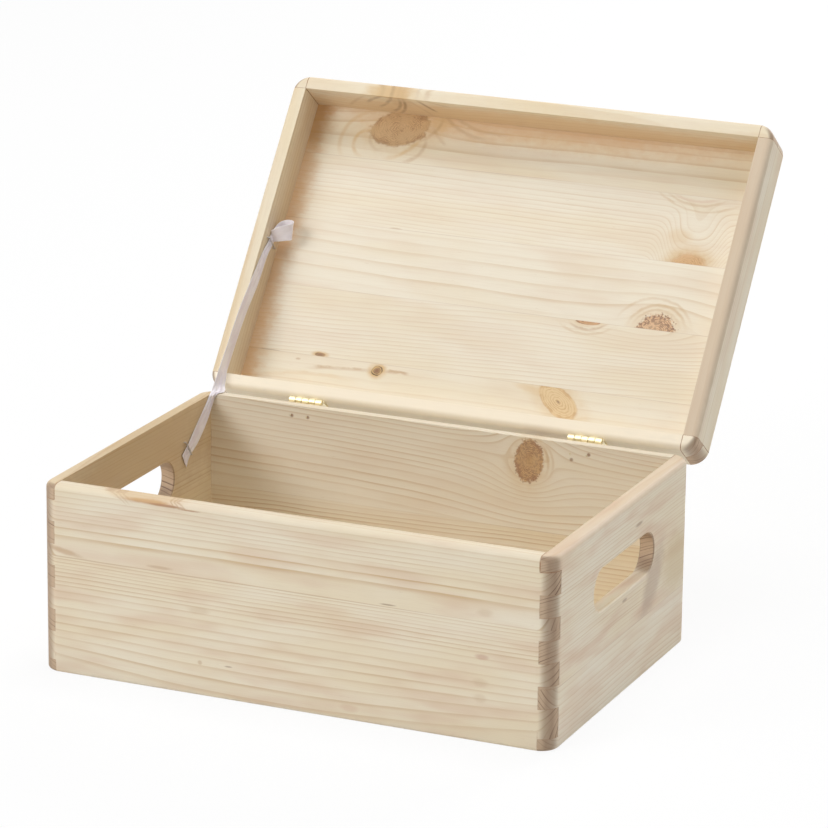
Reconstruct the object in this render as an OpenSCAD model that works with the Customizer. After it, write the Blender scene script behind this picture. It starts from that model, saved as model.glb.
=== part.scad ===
// Pine storage box with a shallow hinged lid, drawn with the lid open on its ribbon stay.
// The frame is centred on the underside of the base: +X right, -Y front, +Z up.
// Lid pieces are drawn closed, then turned about the hinge axis by opened().

/* [Box] */
// Outside width, left to right
box_w = 300; // [240:1:420]
// Outside depth, front to back
box_d = 200; // [160:1:300]
// Height of the base, from its underside to its rim
base_h = 107; // [88:1:200]
// Height of the lid, from its rim to its top face
lid_h = 26.5; // [21:0.5:60]
// Thickness of the wall boards
wall = 8.5; // [7:0.1:11]
// Radius of the upright corners
corner_r = 10; // [6:0.5:12]
// Radius of the outer edges at both rims
rim_r = 3.5; // [1:0.1:4]
// Radius of the outer edges around the top of the lid
top_r = 2.5; // [1:0.1:4]
// Radius of the outer edges around the underside
foot_r = 2; // [0.5:0.1:3]
// Gap between the two rims when the lid is shut
seam_gap = 0.3; // [0.2:0.1:1]
// Angle that the ribbon lets the lid open to
open_angle = 127; // [95:1:135]

/* [Finger joints] */
// Height of the finger at the base's rim
first_finger = 8.5; // [6:0.5:12]
// Height of the fingers below it
finger_pitch = 12.5; // [10:0.5:16]
// Height of the finger at the underside
last_finger = 7; // [5:0.5:10]
// Height of the finger at the lid's rim
lid_finger = 12.5; // [8:0.5:16]

/* [Glued boards] */
// Height of the glue line in the front wall
front_seam = 66.8; // [40:0.1:80]
// Height of the glue line in the back wall
back_seam = 53; // [40:0.5:80]
// Height of the glue line in the left wall
left_seam = 41; // [20:0.5:50]
// Height of the glue line in the right wall
right_seam = 34.5; // [20:0.5:50]
// Places of the glue lines in the lid's panel, behind its centre line
lid_seams = [-60.4, -18.4, 23.7, 65.8]; // [-66:0.1:66]

/* [Thin panels] */
// Thickness of the lid's panel and of the bottom panel
panel_t = 4; // [3:0.1:5]
// How far the panels are let into the walls
rebate = 4; // [2:0.5:4.5]
// Gap around a panel in its rebate
panel_gap = 0.25; // [0.1:0.05:0.5]

/* [Hand holds] */
// Length of a hand hold
slot_w = 88.5; // [60:0.5:110]
// Height of a hand hold
slot_h = 24; // [16:0.5:30]
// Distance from the rim down to the middle of a hand hold
slot_drop = 37.3; // [28:0.1:50]
// Chamfer around the mouth of a hand hold
slot_chamfer = 0.6; // [0.2:0.1:1.5]

/* [Hinges] */
// Distance of each hinge from the centre line
hinge_x = 86; // [60:1:100]
// Length of a hinge along its pin
hinge_w = 20; // [16:1:40]
// Distance from the pin's axis to the far edge of a leaf
leaf_h = 9.5; // [8:0.1:11]
// Thickness of a leaf
leaf_t = 0.9; // [0.6:0.1:1.2]
// Outer radius of the knuckles
knuckle_r = 1.7; // [1.5:0.1:2.5]
// Gap between neighbouring knuckles
knuckle_gap = 0.4; // [0.1:0.1:0.5]
// Distance from the back face to the nearest point of a knuckle
knuckle_off = 0.2; // [0.1:0.1:0.5]
// Radius of the pin
pin_r = 0.9; // [0.7:0.1:1]
// Radial clearance of the pin in the knuckles
pin_gap = 0.05; // [0.02:0.01:0.1]
// Radius of the pin's riveted ends
pin_head_r = 1.3; // [1.1:0.1:1.5]
// Thickness of the pin's riveted ends
pin_head_t = 0.3; // [0.2:0.1:0.5]

/* [Screws] */
// Distance between the two screws of a leaf
screw_spacing = 10; // [8:0.5:14]
// Distance from the pin's axis to the screws
screw_drop = 6.2; // [5:0.1:7]
// Length of a screw past the wall's inner face
screw_poke = 0.8; // [0:0.1:1.5]
// Radius of a screw's shank
screw_r = 1.1; // [0.8:0.1:1.3]
// Radius of a screw's head
screw_head_r = 2; // [1.7:0.1:2.4]
// Length of a screw's point
screw_tip_l = 2.6; // [1.5:0.1:4]
// Clearance around a screw in its hole
screw_gap = 0.05; // [0.02:0.01:0.1]
// Width of the cross recess in a screw's head
cross_w = 0.5; // [0.3:0.1:0.7]
// Depth of the cross recess
cross_deep = 0.5; // [0.3:0.1:0.7]

/* [Ribbon stay] */
// Width of the ribbon
ribbon_w = 10; // [6:0.5:12]
// Thickness of the ribbon's solid
ribbon_t = 0.5; // [0.3:0.1:0.8]
// Gap between the ribbon and the wood
ribbon_gap = 0.3; // [0.2:0.1:0.6]
// Distance of the lid's staple behind the centre line
lid_anchor_back = 4; // [-20:1:20]
// Distance of the base's staple behind the centre line
base_anchor_back = 60; // [52:1:66]
// Distance of the base's staple below the rim
base_anchor_drop = 24; // [20:1:30]
// Length of ribbon left over past each staple
ribbon_tail = 5; // [3:1:10]
// How far the loop at the lid's end stands out from the rail
loop_reach = 12; // [8:0.5:16]
// Width of that loop where it is fullest
loop_open = 6; // [4:0.5:10]

/* [Staples] */
// Gap between a staple and the ribbon that it straddles
staple_gap = 0.3; // [0.2:0.1:1]
// Thickness of a staple's wire
wire_t = 0.7; // [0.5:0.1:0.9]
// Depth of a staple's legs in the wood
staple_leg = 5; // [3:0.5:6]

/* [Hidden] */
$fn = 64;

pine = [0.90, 0.81, 0.66];
pine_dark = [0.83, 0.72, 0.56];
brass = [0.83, 0.66, 0.33];
steel = [0.75, 0.75, 0.76];
satin = [0.90, 0.88, 0.89];

over = 1;                           // how far a cutter runs past the face that it cuts
half_w = box_w / 2;
half_d = box_d / 2;
inner_w = box_w - 2 * wall;
inner_d = box_d - 2 * wall;
lid_z = base_h + seam_gap;          // the lid's rim when shut
axis_y = half_d + knuckle_off + knuckle_r;
axis_z = base_h + seam_gap / 2;
leaf_off = axis_y - half_d;         // from the pin's axis to the wall's face
knuckles = 5;
knuckle_l = (hinge_w - (knuckles - 1) * knuckle_gap) / knuckles;
screw_l = leaf_t + wall + screw_poke;
base_knuckles = [0, 2, 4];
lid_knuckles = [1, 3];

// Finger edges of the base, from the rim down. An even number of full fingers keeps
// both the first and the last finger on the side walls.
finger_room = base_h - first_finger - last_finger;
full_fingers = 2 * floor((finger_room / finger_pitch - 1) / 2);
finger_z = concat(
    [base_h],
    [for (i = [0:full_fingers]) base_h - first_finger - i * finger_pitch],
    [last_finger, 0]
);
finger_count = len(finger_z) - 1;
side_fingers = [for (i = [0:2:finger_count - 1]) [finger_z[i + 1], finger_z[i]]];
long_fingers = [for (i = [1:2:finger_count - 1]) [finger_z[i + 1], finger_z[i]]];

// ---- Outer shape ----

module rounded_plan() {
    square([box_w, box_d - 2 * corner_r], center = true);
    square([box_w - 2 * corner_r, box_d], center = true);
    for (sx = [-1, 1], sy = [-1, 1])
        translate([sx * (half_w - corner_r), sy * (half_d - corner_r)]) circle(corner_r);
}

// What a rounded edge of radius r loses: +x is outwards, +y is up, the sharp edge is at 0, 0.
module edge_profile(r) {
    difference() {
        translate([-r, -r]) square(r + over);
        translate([-r, -r]) circle(r);
    }
}

// The same all the way round the box, below z = 0.
module edge_ring(r) {
    for (turn = [0, 180]) rotate([0, 0, turn]) {
        translate([-(half_w - corner_r), half_d, 0]) rotate([90, 0, 90])
            linear_extrude(box_w - 2 * corner_r) edge_profile(r);
        translate([half_w, half_d - corner_r, 0]) rotate([90, 0, 0])
            linear_extrude(box_d - 2 * corner_r) edge_profile(r);
        for (corner = [[1, 1, 0], [-1, 1, 90]])
            translate([corner[0] * (half_w - corner_r), corner[1] * (half_d - corner_r), 0])
                rotate([0, 0, corner[2]])
                    rotate_extrude(angle = 90) translate([corner_r, 0]) edge_profile(r);
    }
}

// A block of height h with the box's outline, rounded above and below.
module rounded_block(h, upper_r, lower_r) {
    difference() {
        linear_extrude(h) rounded_plan();
        translate([0, 0, h]) edge_ring(upper_r);
        mirror([0, 0, 1]) edge_ring(lower_r);
    }
}

// A wall along X at y = side * half_d, with its fingers running out to the corners.
module long_wall(side, h, fingers) {
    face = side * (half_d - wall / 2);
    translate([0, face, h / 2]) cube([inner_w, wall, h], center = true);
    for (f = fingers)
        translate([0, face, (f[0] + f[1]) / 2]) cube([box_w, wall, f[1] - f[0]], center = true);
}

// A wall along Y at x = side * half_w.
module side_wall(side, h, fingers) {
    face = side * (half_w - wall / 2);
    translate([face, 0, h / 2]) cube([wall, inner_d, h], center = true);
    for (f = fingers)
        translate([face, 0, (f[0] + f[1]) / 2]) cube([wall, box_d, f[1] - f[0]], center = true);
}

// The slab of height between two levels, wider than the box.
module slab(low, high) {
    translate([-box_w, -box_d, low]) cube([2 * box_w, 2 * box_d, high - low]);
}

// ---- Base ----

module bottom_rebate() {
    w = inner_w + 2 * rebate;
    d = inner_d + 2 * rebate;
    translate([-w / 2, -d / 2, -over]) cube([w, d, over + panel_t]);
}

// Holes of the hinge screws, from the hinge's own axis down into the wall.
module base_screw_holes() {
    for (sx = [-1, 1]) translate([sx * hinge_x, axis_y, axis_z]) leaf_screws(screw_gap);
}

// One glued board of the base: the part of its wall between two levels.
module base_board(low, high) {
    difference() {
        intersection() {
            rounded_block(base_h, rim_r, foot_r);
            children();
            slab(low, high);
        }
        bottom_rebate();
    }
}

module front_upper_board() {
    color(pine) base_board(front_seam, base_h + over) long_wall(-1, base_h, long_fingers);
}

module front_lower_board() {
    color(pine_dark) base_board(-over, front_seam) long_wall(-1, base_h, long_fingers);
}

module back_upper_board() {
    color(pine) difference() {
        base_board(back_seam, base_h + over) long_wall(1, base_h, long_fingers);
        base_screw_holes();
    }
}

module back_lower_board() {
    color(pine_dark) base_board(-over, back_seam) long_wall(1, base_h, long_fingers);
}

// A stadium along Y, extruded along X from the middle plane of the hand hold.
module slot_prism(length, height, thickness) {
    rotate([90, 0, 90]) linear_extrude(thickness, center = true) {
        square([length - height, height], center = true);
        for (s = [-1, 1]) translate([s * (length - height) / 2, 0]) circle(height / 2);
    }
}

// The flared mouth of a hand hold, widening towards +X over the chamfer's depth.
module slot_mouth() {
    straight = slot_w - slot_h;
    r = slot_h / 2;
    reach = slot_chamfer + over;
    for (s = [-1, 1]) translate([0, s * straight / 2, 0]) rotate([0, 90, 0])
        cylinder(h = reach, r1 = r, r2 = r + reach);
    rotate([90, 0, 0]) linear_extrude(straight, center = true)
        polygon([[0, -r], [reach, -r - reach], [reach, r + reach], [0, r]]);
}

module hand_hold(side) {
    translate([side * half_w, 0, base_h - slot_drop]) {
        slot_prism(slot_w, slot_h, 2 * wall + 2 * over);
        mirror([side < 0 ? 1 : 0, 0, 0]) translate([-slot_chamfer, 0, 0]) slot_mouth();
        mirror([side < 0 ? 0 : 1, 0, 0]) translate([wall - slot_chamfer, 0, 0]) slot_mouth();
    }
}

module side_board(side, low, high) {
    difference() {
        base_board(low, high) side_wall(side, base_h, side_fingers);
        hand_hold(side);
    }
}

module left_upper_board() { color(pine) side_board(-1, left_seam, base_h + over); }
module left_lower_board() { color(pine_dark) side_board(-1, -over, left_seam); }
module right_upper_board() { color(pine) side_board(1, right_seam, base_h + over); }
module right_lower_board() { color(pine_dark) side_board(1, -over, right_seam); }

module bottom_panel() {
    w = inner_w + 2 * (rebate - panel_gap);
    d = inner_d + 2 * (rebate - panel_gap);
    color(pine) translate([-w / 2, -d / 2, 0]) cube([w, d, panel_t]);
}

// ---- Lid ----

// Turns what is drawn shut to where it stands with the lid open.
module opened() {
    translate([0, axis_y, axis_z]) rotate([-open_angle, 0, 0])
        translate([0, -axis_y, -axis_z]) children();
}

module lid_rebate() {
    w = inner_w + 2 * rebate;
    d = inner_d + 2 * rebate;
    translate([-w / 2, -d / 2, lid_h - panel_t]) cube([w, d, panel_t + over]);
}

module lid_rail() {
    translate([0, 0, lid_z]) difference() {
        intersection() {
            rounded_block(lid_h, min(top_r, wall - rebate - panel_gap), rim_r);
            children();
        }
        lid_rebate();
    }
}

module lid_long_rail(side) { lid_rail() long_wall(side, lid_h, [[0, lid_finger]]); }
module lid_side_rail(side) { lid_rail() side_wall(side, lid_h, [[lid_finger, lid_h]]); }

module lid_screw_holes() {
    for (sx = [-1, 1]) translate([sx * hinge_x, axis_y, axis_z])
        mirror([0, 0, 1]) leaf_screws(screw_gap);
}

module lid_front_rail() { color(pine) opened() lid_long_rail(-1); }
module lid_left_rail() { color(pine_dark) opened() lid_side_rail(-1); }
module lid_right_rail() { color(pine_dark) opened() lid_side_rail(1); }

module lid_back_rail() {
    color(pine) opened() difference() {
        lid_long_rail(1);
        lid_screw_holes();
    }
}

// The boards of the panel, counted from the front. The outer two fill what is left.
panel_half_d = inner_d / 2 + rebate - panel_gap;
lid_board_edges = concat([-panel_half_d], lid_seams, [panel_half_d]);

module lid_board(number) {
    w = inner_w + 2 * (rebate - panel_gap);
    low = lid_board_edges[number - 1];
    high = lid_board_edges[number];
    color(number % 2 == 0 ? pine : pine_dark) opened()
        translate([-w / 2, low, lid_z + lid_h - panel_t]) cube([w, high - low, panel_t]);
}

// ---- Hinges: drawn about the pin's axis, with the base's leaf hanging down ----

module hinge_leaf(own) {
    difference() {
        union() {
            translate([-hinge_w / 2, -leaf_off, -leaf_h])
                cube([hinge_w, leaf_t, leaf_h - knuckle_r - knuckle_gap]);
            for (i = own) translate([i * (knuckle_l + knuckle_gap) - hinge_w / 2, 0, 0]) {
                translate([0, -leaf_off, -leaf_h]) cube([knuckle_l, leaf_t, leaf_h]);
                rotate([0, 90, 0]) cylinder(h = knuckle_l, r = knuckle_r);
            }
        }
        rotate([0, 90, 0])
            cylinder(h = hinge_w + 2 * over, r = pin_r + pin_gap, center = true);
        leaf_screws(screw_gap);
    }
}

// One screw, or with a gap its hole, from the head at y = 0 to the point.
module screw_body(gap) {
    rotate([90, 0, 0]) {
        cylinder(h = leaf_t, r1 = screw_head_r + gap, r2 = screw_r + gap);
        cylinder(h = screw_l - screw_tip_l, r = screw_r + gap);
        translate([0, 0, screw_l - screw_tip_l])
            cylinder(h = screw_tip_l + gap, r1 = screw_r + gap, r2 = 0.05 + gap);
    }
}

module leaf_screws(gap) {
    for (sx = [-1, 1])
        translate([sx * screw_spacing / 2, leaf_t - leaf_off, -screw_drop]) screw_body(gap);
}

module cross_recess() {
    for (turn = [0, 90]) rotate([0, turn, 0])
        cube([2 * screw_r, 2 * cross_deep, cross_w], center = true);
}

module driven_screws() {
    difference() {
        leaf_screws(0);
        for (sx = [-1, 1])
            translate([sx * screw_spacing / 2, leaf_t - leaf_off, -screw_drop]) cross_recess();
    }
}

module hinge_pin() {
    rotate([0, 90, 0]) {
        cylinder(h = hinge_w + 2 * pin_head_t, r = pin_r, center = true);
        for (s = [-1, 1]) translate([0, 0, s * (hinge_w + pin_head_t) / 2])
            cylinder(h = pin_head_t, r = pin_head_r, center = true);
    }
}

module at_hinge(side) { translate([side * hinge_x, axis_y, axis_z]) children(); }

module left_hinge_base_leaf() { color(brass) at_hinge(-1) hinge_leaf(base_knuckles); }
module right_hinge_base_leaf() { color(brass) at_hinge(1) hinge_leaf(base_knuckles); }
module left_hinge_pin() { color(brass) at_hinge(-1) hinge_pin(); }
module right_hinge_pin() { color(brass) at_hinge(1) hinge_pin(); }

module left_hinge_lid_leaf() {
    color(brass) opened() at_hinge(-1) mirror([0, 0, 1]) hinge_leaf(lid_knuckles);
}

module right_hinge_lid_leaf() {
    color(brass) opened() at_hinge(1) mirror([0, 0, 1]) hinge_leaf(lid_knuckles);
}

module base_hinge_screws() {
    color(brass) for (side = [-1, 1]) at_hinge(side) driven_screws();
}

module lid_hinge_screws() {
    color(brass) opened() for (side = [-1, 1]) at_hinge(side) mirror([0, 0, 1]) driven_screws();
}

// ---- Ribbon stay: on edge along the left rail and the left wall, flat over the back rim ----

// Where a point of the shut lid, as [y, z], stands with the lid open.
function open_point(p) = [
    axis_y + (p[0] - axis_y) * cos(open_angle) + (p[1] - axis_z) * sin(open_angle),
    axis_z - (p[0] - axis_y) * sin(open_angle) + (p[1] - axis_z) * cos(open_angle)
];
function between(a, b, f) = a + f * (b - a);
function unit(v) = v / norm(v);

rim_clear = ribbon_t / 2 + ribbon_gap;
lid_anchor = open_point([lid_anchor_back, lid_z + (lid_h - panel_t) / 2]);
base_corner = [inner_d / 2 - rim_clear, base_h + rim_clear];
base_anchor = [base_anchor_back, base_h - base_anchor_drop];
upper_run = unit(base_corner - lid_anchor);
lower_run = unit(base_anchor - base_corner);
loop_start = lid_anchor - ribbon_tail * upper_run;
low_end = base_anchor + ribbon_tail * lower_run;

// A station of the ribbon is its middle and the direction of its width. On a straight run
// it is on edge at turn 0 and flat at turn 90, with one edge beside the wood.
function run_station(p, run, turn) = [
    [
        ribbon_gap - inner_w / 2 + ribbon_t / 2 * cos(turn) + ribbon_w / 2 * sin(turn),
        p[0],
        p[1]
    ],
    [sin(turn), -cos(turn) * run[1], cos(turn) * run[0]]
];

// The loop past the lid's staple: out from the rail behind, and back to it in front.
loop_turn = 300;
loop_steps = 10;
upright_by = 60;
function loop_station(angle) = [
    [
        rim_clear - inner_w / 2 + loop_reach / 2 * (1 - cos(angle)),
        loop_start[0] + loop_open / 2 * sin(angle),
        loop_start[1]
    ],
    unit(between([0, -upper_run[1], upper_run[0]], [0, 0, -1], min(1, angle / upright_by)))
];

steps = 12;
stations = concat(
    [for (i = [loop_steps:-1:0]) loop_station(loop_turn * i / loop_steps)],
    [for (i = [0:steps]) let (f = i / steps)
        run_station(between(lid_anchor, base_corner, f), upper_run, 90 * pow(f, 4))],
    [for (i = [1:steps]) let (f = i / steps)
        run_station(between(base_corner, base_anchor, f), lower_run, 90 * pow(1 - f, 3))],
    [run_station(low_end, lower_run, 0)]
);
last = len(stations) - 1;

function station_points(i) =
    let (
        centre = stations[i][0],
        along = stations[min(i + 1, last)][0] - stations[max(i - 1, 0)][0],
        wide = ribbon_w / 2 * stations[i][1],
        thick = ribbon_t / 2 * unit(cross(along, wide))
    )
    [centre - wide - thick, centre + wide - thick, centre + wide + thick, centre - wide + thick];

module ribbon_stay() {
    // The two skins share their diagonals, so that a twist can't push one through the other.
    side_faces = [
        for (i = [0:last - 1], j = [0:3])
            let (a = 4 * i + j, b = 4 * i + (j + 1) % 4) each (
                j < 2 ? [[a, b + 4, a + 4], [a, b, b + 4]] : [[a, b, a + 4], [b, b + 4, a + 4]]
            )
    ];
    end_faces = [
        [0, 2, 1], [0, 3, 2],
        [4 * last, 4 * last + 1, 4 * last + 2], [4 * last, 4 * last + 2, 4 * last + 3]
    ];
    color(satin) polyhedron(
        points = [for (i = [0:last]) each station_points(i)],
        faces = concat(side_faces, end_faces)
    );
}

// A staple over the ribbon: its crown lies across a run of that direction.
module staple(place, run) {
    crown_x = ribbon_gap + ribbon_t + staple_gap + wire_t / 2;
    inside = ribbon_w + 2 * staple_gap;
    translate([-inner_w / 2, place[0], place[1]]) rotate([atan2(run[1], run[0]), 0, 0]) {
        translate([crown_x, 0, 0]) cube([wire_t, wire_t, inside + 2 * wire_t], center = true);
        for (s = [-1, 1])
            translate([-staple_leg, -wire_t / 2, s * (inside + wire_t) / 2 - wire_t / 2])
                cube([staple_leg + crown_x + wire_t / 2, wire_t, wire_t]);
    }
}

module base_staple() { color(steel) staple(base_anchor, lower_run); }
module lid_staple() { color(steel) staple(lid_anchor, upper_run); }

front_upper_board();
front_lower_board();
back_upper_board();
back_lower_board();
left_upper_board();
left_lower_board();
right_upper_board();
right_lower_board();
bottom_panel();
lid_front_rail();
lid_back_rail();
lid_left_rail();
lid_right_rail();
lid_board(1);  // lid_board_1
lid_board(2);  // lid_board_2
lid_board(3);  // lid_board_3
lid_board(4);  // lid_board_4
lid_board(5);  // lid_board_5
left_hinge_base_leaf();
left_hinge_lid_leaf();
left_hinge_pin();
right_hinge_base_leaf();
right_hinge_lid_leaf();
right_hinge_pin();
base_hinge_screws();
lid_hinge_screws();
ribbon_stay();
base_staple();
lid_staple();
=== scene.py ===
"""The looks of the pine box: its wood board by board, brass hinges, steel staples and satin ribbon."""

import math
import random

import bpy
import numpy as np
from mathutils import Matrix, Vector


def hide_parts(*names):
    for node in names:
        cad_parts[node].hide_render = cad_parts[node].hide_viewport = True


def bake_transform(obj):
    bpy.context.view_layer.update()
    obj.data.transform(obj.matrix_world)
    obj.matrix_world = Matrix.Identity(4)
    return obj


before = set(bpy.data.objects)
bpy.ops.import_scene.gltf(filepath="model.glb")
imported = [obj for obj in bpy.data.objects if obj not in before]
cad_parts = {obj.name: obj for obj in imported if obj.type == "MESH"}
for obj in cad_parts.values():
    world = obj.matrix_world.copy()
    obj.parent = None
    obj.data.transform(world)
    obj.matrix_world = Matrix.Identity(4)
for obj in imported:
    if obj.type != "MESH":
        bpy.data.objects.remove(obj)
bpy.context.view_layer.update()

MM = 0.001

# The box's own sizes in millimetres, as they are built.
BOX_W, BOX_D, WALL = 300, 200, 8.5
INNER_X, INNER_Y = BOX_W / 2 - WALL, BOX_D / 2 - WALL
LID_Z = 107.3                           # the lid's rim when shut
PANEL_INSIDE = 129.8                    # the panel's inner face when shut
HINGE_Y, HINGE_Z = 101.9, 107.15
OPEN_ANGLE = 127
FINGER_PITCH = 12.5
LAST_FINGER = 7                         # top of the lowest finger
FINGER_EDGE = 23.5                      # one of the edges between the others
TOP_FINGER = (97, 99)                   # where the finger under the rim begins
LID_FINGER = LID_Z + FINGER_PITCH


# ---------------------------------------------------------------- shader maths


class Value:
    """A number or colour in a material's tree. Sums on it add Math nodes."""

    def __init__(self, shader, socket):
        self.shader, self.socket = shader, socket

    def maths(self, operation, *others):
        inputs = dict(enumerate((self, *others)))
        return self.shader.add("ShaderNodeMath", {"operation": operation}, inputs)

    def __add__(self, other):
        return self.maths("ADD", other)

    def __sub__(self, other):
        return self.maths("SUBTRACT", other)

    def __rsub__(self, other):
        return self.maths("MULTIPLY_ADD", -1, other)

    def __mul__(self, other):
        return self.maths("MULTIPLY", other)

    def __truediv__(self, other):
        return self.maths("DIVIDE", other)

    def __pow__(self, other):
        return self.maths("POWER", other)

    def __neg__(self):
        return self.maths("MULTIPLY", -1)

    def __abs__(self):
        return self.maths("ABSOLUTE")

    __radd__, __rmul__ = __add__, __mul__

    def fract(self):
        return self.maths("FRACT")

    def root(self):
        return self.maths("SQRT")

    def exp(self):
        return self.maths("EXPONENT")

    def least(self, other):
        return self.maths("MINIMUM", other)

    def most(self, other):
        return self.maths("MAXIMUM", other)

    def ramp(self, start, end, low=0.0, high=1.0):
        """Goes smoothly from low to high as this goes from start to end."""
        settings = {"interpolation_type": "SMOOTHSTEP"}
        inputs = {"Value": self, 1: start, 2: end, 3: low, 4: high}
        return self.shader.add("ShaderNodeMapRange", settings, inputs)

    def curve(self, stops):
        """Follows straight lines between stops, each a place and its value, from 0 to 1."""
        return self.shader.add("ShaderNodeFloatCurve", {"stops": stops}, {"Value": self})


class Shader:
    """The tree of a material, or of the world, and the one way of adding nodes to it."""

    def __init__(self, name, kind="materials"):
        self.owner = getattr(bpy.data, kind).new(name)
        self.owner.use_nodes = True
        self.tree = self.owner.node_tree
        self.tree.nodes.clear()

    def add(self, kind, settings=None, inputs=None, output=0):
        """Adds a node: its settings first, then the values or links of its sockets."""
        node = self.tree.nodes.new(kind)
        for name, setting in (settings or {}).items():
            if name == "stops":
                points = node.mapping.curves[0].points
                for place, value in setting[1:-1]:
                    points.new(place, value)
                points[0].location, points[-1].location = setting[0], setting[-1]
                for point in points:
                    point.handle_type = "VECTOR"
                node.mapping.update()
            else:
                setattr(node, name, setting)
        for name, value in (inputs or {}).items():
            if isinstance(value, Value):
                self.tree.links.new(value.socket, node.inputs[name])
            else:
                node.inputs[name].default_value = value
        return Value(self, node.outputs[output]) if node.outputs else None

    def blend(self, factor, first, second, how="MIX"):
        """A colour between two colours."""
        settings = {"data_type": "RGBA", "blend_type": how}
        return self.add("ShaderNodeMix", settings, {0: factor, 6: first, 7: second}, output=2)

    def vector(self, x, y, z):
        return self.add("ShaderNodeCombineXYZ", inputs={0: x, 1: y, 2: z})

    def parts(self, vector):
        return [self.add("ShaderNodeSeparateXYZ", inputs={0: vector}, output=i) for i in range(3)]

    def noise(self, place, detail=2.0, rough=0.5):
        """Noise from 0 to 1 around one half, with features about one unit of place apart."""
        inputs = {"Vector": place, "Scale": 1.0, "Detail": detail, "Roughness": rough}
        return self.add("ShaderNodeTexNoise", inputs=inputs)

    def surface(self, **inputs):
        """The material's Principled surface, with its sockets by name."""
        named = {name.replace("_", " "): value for name, value in inputs.items()}
        shading = self.add("ShaderNodeBsdfPrincipled", inputs=named)
        self.add("ShaderNodeOutputMaterial", inputs={"Surface": shading})
        return self.owner


def linear(red, green, blue):
    """A colour as it looks on a screen, from 0 to 255, in the units that a shader takes."""
    parts = [c / 255 for c in (red, green, blue)]
    return tuple(c / 12.92 if c < 0.04045 else ((c + 0.055) / 1.055) ** 2.4 for c in parts) + (1.0,)


# ---------------------------------------------------------------- pine

CREAM = linear(239, 230, 211)
HONEY = linear(230, 212, 176)
ROSE = linear(222, 196, 171)
LATE_WOOD = linear(200, 165, 115)
AMBER = linear(214, 179, 126)
STAIN = linear(188, 150, 106)
RESIN = linear(146, 108, 78)
END_EARLY = linear(200, 174, 146)
END_LATE = linear(118, 90, 68)
JOINT = linear(150, 100, 58)
FIBRE = linear(186, 148, 106)
FLECK = linear(126, 86, 64)
# Painted shade and painted light, laid on as marks: shade along the lid panel's left and front edges, on
# the lid's front rail and along the right-hand rims, and light along the lid's back rim.
SHADE = linear(212, 160, 98)
RAIL_SHADE = linear(222, 178, 122)
RIM_SHADE, LID_RIM_SHADE = linear(212, 186, 158), linear(206, 184, 158)
RIM_LIGHT = linear(255, 242, 218)


class Figure:
    """Something that lies at a place on a board's face. Sizes are in millimetres, along and
    across the grain, and turn is in degrees."""

    def __init__(self, u, v, long_r, short_r, turn=0.0):
        self.u, self.v, self.long_r, self.short_r, self.turn = u, v, long_r, short_r, turn

    def place(self, u, v):
        """The point's place along and across the figure."""
        du, dv = u - self.u, v - self.v
        if not self.turn:
            return du, dv
        cos, sin = math.cos(math.radians(self.turn)), math.sin(math.radians(self.turn))
        return du * cos + dv * sin, dv * cos - du * sin

    def far(self, u, v, along=1.0, across=1.0):
        """The point's squared distance, which is 1 at the figure's edge."""
        du, dv = self.place(u, v)
        return (du / (self.long_r * along)) ** 2 + (dv / (self.short_r * across)) ** 2


class Knot(Figure):
    """A branch that a board cuts through."""

    def __init__(self, u, v, long_r, short_r, wood, heart, turn=0.0, rise=0.0, reach=(20, 12),
                 steep=False, part=1.0, halo=0.5, rim=0.5, speckle=0.0, cover=0.9, ragged=0.3,
                 dot=0.0, soft=0.08):
        super().__init__(u, v, long_r, short_r, turn)
        self.wood, self.heart = wood, heart      # its paler and darker colour
        self.rise, self.reach = rise, reach      # how far it pushes the rings, and over what range
        self.steep = steep                       # the rings turn sharply there
        self.part = part                         # how much the rings part to go round it
        self.halo, self.rim, self.dot = halo, rim, dot   # amber round it, dark edge and middle
        self.soft, self.ragged = soft, ragged    # how blurred and how uneven its edge is
        self.speckle, self.cover = speckle, cover


class Mark(Figure):
    """A soft patch of another colour: a stain, or shade that the wood is shown with. Shade stays
    where it is under any light."""

    def __init__(self, u, v, long_r, short_r, colour, strength, turn=0.0):
        super().__init__(u, v, long_r, short_r, turn)
        self.colour, self.strength = colour, strength


class Stroke:
    """A thin curved line through three points of a board's face, as where a ring folds back."""

    def __init__(self, start, middle, end, strength, half_width=0.6, colour=LATE_WOOD):
        (ax, ay), (bx, by), (cx, cy) = start, middle, end
        turn = 2 * (ax * (by - cy) + bx * (cy - ay) + cx * (ay - by))
        a, b, c = ax * ax + ay * ay, bx * bx + by * by, cx * cx + cy * cy
        self.centre = ((a * (by - cy) + b * (cy - ay) + c * (ay - by)) / turn,
                       (a * (cx - bx) + b * (ax - cx) + c * (bx - ax)) / turn)
        self.radius = math.dist(self.centre, middle)
        self.middle = middle
        self.length = max(math.dist(start, middle), math.dist(middle, end))
        self.strength, self.half_width, self.colour = strength, half_width, colour


class Board:
    """How one board was cut from its log, in millimetres: u along the grain, v across its face
    and w through its thickness."""

    def __init__(self, grain, pith, spacing, lines=(), face=None, slope=0.0, curl=(0, 0, 0),
                 wave=5.0, contrast=1.0, tone=0.3, rose=0.2, knots=(), marks=(), strokes=(),
                 seams=(), lid=False, flat=False):
        self.grain = grain              # "x" or "y"
        self.pith = pith                # place of the log's middle, (v, w)
        self.spacing = spacing          # usual width of a ring
        self.lines, self.face = lines, face      # dark lines on the face at that w: (v, strength)
        self.slope = slope              # how fast the grain drifts across the face
        self.curl = curl                # bend of the lines per square of u, from v to v
        self.wave = wave
        self.contrast = contrast
        self.tone, self.rose = tone, rose
        self.knots, self.marks, self.strokes, self.seams = knots, marks, strokes, seams
        self.lid, self.flat = lid, flat


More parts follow.
